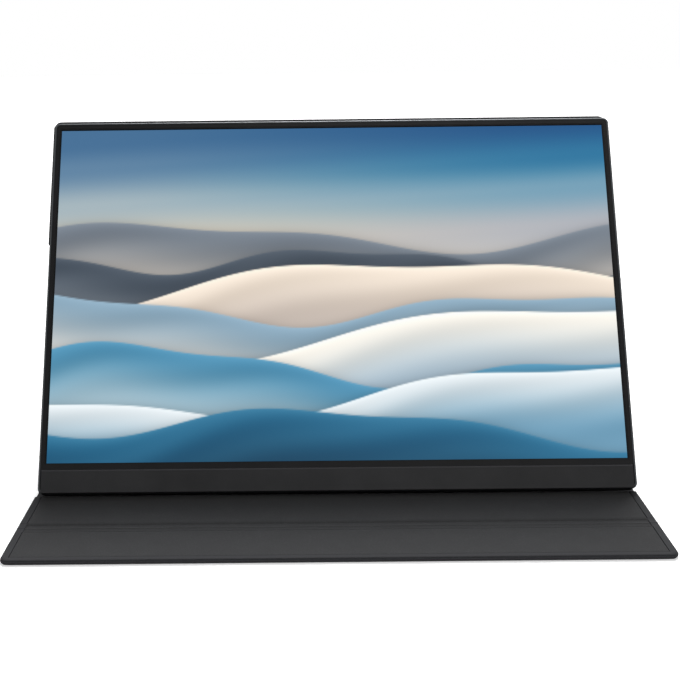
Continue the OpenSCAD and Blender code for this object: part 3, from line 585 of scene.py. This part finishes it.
def crease_piece(name, node, bodies, feet, normals, thick, inset, inner_near, hem_dip,
                 ridge):
    """Closed strip over the rows, thick as the CAD's. Its near face lies on the hinge's
    side. With s the way along the strip, m its middle and e the distance from its nearer
    end, the inner face starts level with the panels' lining and dips to the crease's
    thickness as smooth(e / 1.9 mm). In the hems the dip is hem_dip as deep. A ridge
    ridge e^(-((s - m) / 0.6 mm)^2) runs along the middle, and a line 0.12 mm deep where
    the hem meets the lining. Both faces carry wrinkles
    0.04 mm sin(2 pi (s / 1.3 mm + 0.3 sin(x / 23 mm))), which die out at the ends and
    are fainter on the far face. The near face bunches up by 0.22 mm where it turns."""
    inner_cols, window = 140, 7
    half = COVER_W / 2 - inset
    hem = HEM - inset + np.array([-0.0006, -0.0003, -0.00012, 0, 0.00012, 0.0003, 0.0007])
    side = np.r_[edge_steps(RIM_R, 6), hem]
    xs = np.r_[-half + side, np.linspace(-half + FLAT_SIDE, half - FLAT_SIDE, inner_cols),
               half - side[::-1]]
    turn = np.unwrap(np.arctan2(normals[:, 1], normals[:, 0]))
    way = np.r_[0, np.cumsum(np.hypot(*np.diff(feet, axis=0).T)
                             + CREASE_T * np.abs(np.diff(turn)))]
    x, s = np.meshgrid(xs, way)
    end = np.minimum(s, way[-1] - s) - TUCK
    wrinkle = (WRINKLE * np.sin(2 * np.pi * (s / WRINKLE_PITCH + SWAY * np.sin(x / SWAY_L)))
               * smooth((end - WRINKLE_FROM) / WRINKLE_FADE))
    soft = np.convolve(np.pad(np.abs(np.gradient(turn)), window // 2, "edge"),
                       np.ones(window) / window, "valid")
    bunch = BUNCH * (soft / max(soft.max(), 1e-6))[:, None]
    fall = rounded(half - np.abs(x), RIM_R)
    line = LINE_DEPTH * np.exp(-((half + inset - np.abs(x) - HEM) / LINE_W) ** 2)
    dip = np.where(np.abs(x) > COVER_W / 2 - HEM, hem_dip, 1.0)
    rise = ((COVER_T - PADDED - thick) * (1 - dip * smooth(end / SLOPE_L)) - line - fall
            + ridge * np.exp(-((s - way[-1] / 2) / RIDGE_W) ** 2))
    outer_dip = OUTER_DIP * smooth(end / OUTER_DIP_L)
    if inner_near:
        near = NEAR_LINING + bunch + wrinkle - rise
        far = thick - FAR_LEATHER - outer_dip + 0.3 * wrinkle - fall
    else:
        near = NEAR_LEATHER + outer_dip + bunch + wrinkle + fall
        far = thick - FAR_LINING + 0.5 * wrinkle + rise
    _, faces, kind = closed_sheet(x, s, near, far)
    points = np.concatenate([np.stack([
        x, feet[:, :1] + normals[:, :1] * offset,
        feet[:, 1:] + normals[:, 1:] * offset], -1).reshape(-1, 3)
        for offset in (near, far)])
    inner = kind == (0 if inner_near else 1)
    middle = np.abs(points[faces, 0].mean(1)) < COVER_W / 2 - HEM
    slots = np.where(inner & middle, 0, 1)
    made = piece(name, points, faces[:, ::-1], [lining, leather], slots)
    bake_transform(made)
    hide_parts(node)


DOWN = -math.pi / 2
GROOVE_T = 0.002
# Each crease's bodies, hinge, normals' angles before and after, reach to each side,
# thickness, side inset, whether the lining is on the hinge's side, hem_dip and ridge.
creases = [
    ("flap_groove", ("flap_front", "flap_middle"),
     ((FRONT_REAR + MIDDLE_FRONT) / 2, GROOVE_T), DOWN, DOWN,
     (MIDDLE_FRONT - FRONT_REAR) / 2, GROOVE_T, SIDE_INSET, True, 0.15, 0.00025),
    ("foot_groove", ("flap_middle", "flap_rear"),
     ((GROOVE_FRONT + GROOVE_REAR) / 2, CREASE_T), DOWN, DOWN,
     (GROOVE_REAR - GROOVE_FRONT) / 2, CREASE_T, SIDE_INSET, True, 1.0, 0.0),
    ("spine_crease", ("flap_rear", "spine"), (SPINE_Y, CREASE_T), DOWN, DOWN,
     HALF_CREASE, CREASE_T, SIDE_INSET, True, 1.0, 0.0),
    ("leg_crease", ("spine", "leg"), (LEG_Y, CREASE_T), DOWN, LEG_TILT,
     HALF_CREASE, CREASE_T, NOTCH, True, 1.0, 0.0),
    ("back_crease", ("holder", "leg"), BACK_CREASE, math.pi - LEAN,
     math.pi + LEG_TILT, HALF_CREASE, CREASE_T, NOTCH, False, 1.0, 0.0),
]
for part, bodies, hinge, before, after, reach, *shape in creases:
    feet, normals = crease_rows(hinge, before, after, reach)
    crease_piece(part + "_fold", part + "_leather", bodies, feet, normals, *shape)

# ---------------------------------------------------------------- table and studio
# A pale, seamless table in a white studio. A softbox behind shines over the screen's top
# edge onto the flap's front, and the rest of the flap is in the screen's shadow. A low
# card in front lights the chin, and a softbox above the camera lightens it all a little.
# The table's top lies 0.3 mm under the cover, so that no two faces share a plane.
bpy.ops.mesh.primitive_plane_add(size=12, location=(0, 0, -0.0003))
table = bpy.context.object
table.name = "table"
paper, tree, shader = surface("pale_table", Roughness=0.85, Emission_Color=(1, 1, 1, 1))
tree.links.new(two_tone(tree, noise(tree, 0.4), "#f2f2f2", "#f5f5f5"),
               shader.inputs["Base Color"])
table.data.materials.append(paper)
direct = add(tree, "ShaderNodeLightPath").outputs["Is Camera Ray"]
tree.links.new(between(tree, direct, 0.0, 0.45), shader.inputs["Emission Strength"])

world = bpy.data.worlds.new("studio")
bpy.context.scene.world = world
world.use_nodes = True
tree = world.node_tree
tree.nodes.clear()
rays = add(tree, "ShaderNodeLightPath").outputs
seen = rays["Is Camera Ray"]
for kind in ("Is Transmission Ray", "Is Glossy Ray"):
    seen = add(tree, "ShaderNodeMath", {0: seen, 1: rays[kind]},
               operation="MAXIMUM").outputs["Value"]
room = add(tree, "ShaderNodeBackground", {"Color": linear("#f6f8fb"), "Strength": 0.1})
white = add(tree, "ShaderNodeBackground", {"Color": (1, 1, 1, 1), "Strength": 1.0})
mixed = add(tree, "ShaderNodeMixShader", {
    "Fac": seen, 1: room.outputs["Background"], 2: white.outputs["Background"]})
add(tree, "ShaderNodeOutputWorld", {"Surface": mixed.outputs["Shader"]})


def skylight(name, elevation, azimuth, spread, strength):
    """A far, soft light at that elevation and azimuth in degrees, where azimuth 0 is
    straight behind the object and 90 is to its right, as wide as spread degrees."""
    lamp = bpy.data.lights.new(name, "SUN")
    lamp.energy, lamp.angle = strength, math.radians(spread)
    made = bpy.data.objects.new(name, lamp)
    bpy.context.scene.collection.objects.link(made)
    e, a = math.radians(elevation), math.radians(azimuth)
    toward = Vector((math.sin(a) * math.cos(e), math.cos(a) * math.cos(e), math.sin(e)))
    made.rotation_mode = "QUATERNION"
    made.rotation_quaternion = (-toward).to_track_quat("-Z", "Y")


skylight("rear_softbox", 53.2, 4, 14, 4.0)
skylight("front_card", 12, 168, 50, 1.25)

# The vector points up from the object to this softbox, whose light goes the other way.
lamp = bpy.data.lights.new("front_softbox", "AREA")
lamp.shape, lamp.size, lamp.size_y, lamp.energy = "RECTANGLE", 0.7, 0.5, 4.4
front = bpy.data.objects.new("front_softbox", lamp)
bpy.context.scene.collection.objects.link(front)
front.location = (0.22, -0.68, 1.45)
front.rotation_mode = "QUATERNION"
front.rotation_quaternion = Vector((0.22, -0.7, 1.3)).to_track_quat("Z", "Y")

scene = bpy.context.scene
scene.view_settings.view_transform = "Standard"


def camera_pose(place, pitch, yaw, roll):
    """Camera matrix. It looks along (0, cos p, -sin p), turned by yaw about Z, and its
    right and up axes are turned by roll about that line."""
    p, y, r = (math.radians(a) for a in (pitch, yaw, roll))
    right, up = np.array([1.0, 0, 0]), np.array([0, math.sin(p), math.cos(p)])
    ahead = np.array([0, math.cos(p), -math.sin(p)])
    turned = np.stack([math.cos(r) * right - math.sin(r) * up,
                       math.sin(r) * right + math.cos(r) * up, -ahead])
    spin = np.array([[math.cos(y), math.sin(y), 0], [-math.sin(y), math.cos(y), 0],
                     [0, 0, 1]])
    axes = turned @ spin.T
    pose = np.eye(4)
    pose[:3, :3], pose[:3, 3] = axes.T, place
    return Matrix(pose.tolist())


# The photograph's camera, fitted to the corners of the picture, the housing and the
# flap. The shift stands for the photograph's crop.
lens = bpy.data.cameras.new("camera")
lens.lens, lens.sensor_width = 68.035, 36
lens.shift_x = 0.055247
lens.clip_start, lens.clip_end = 0.01, 50
camera = bpy.data.objects.new("camera", lens)
scene.collection.objects.link(camera)
camera.matrix_world = camera_pose((-0.0136442, -0.7550032, 0.2760707), 14.01491,
                                  -0.367937, 0.679065)
scene.camera = camera
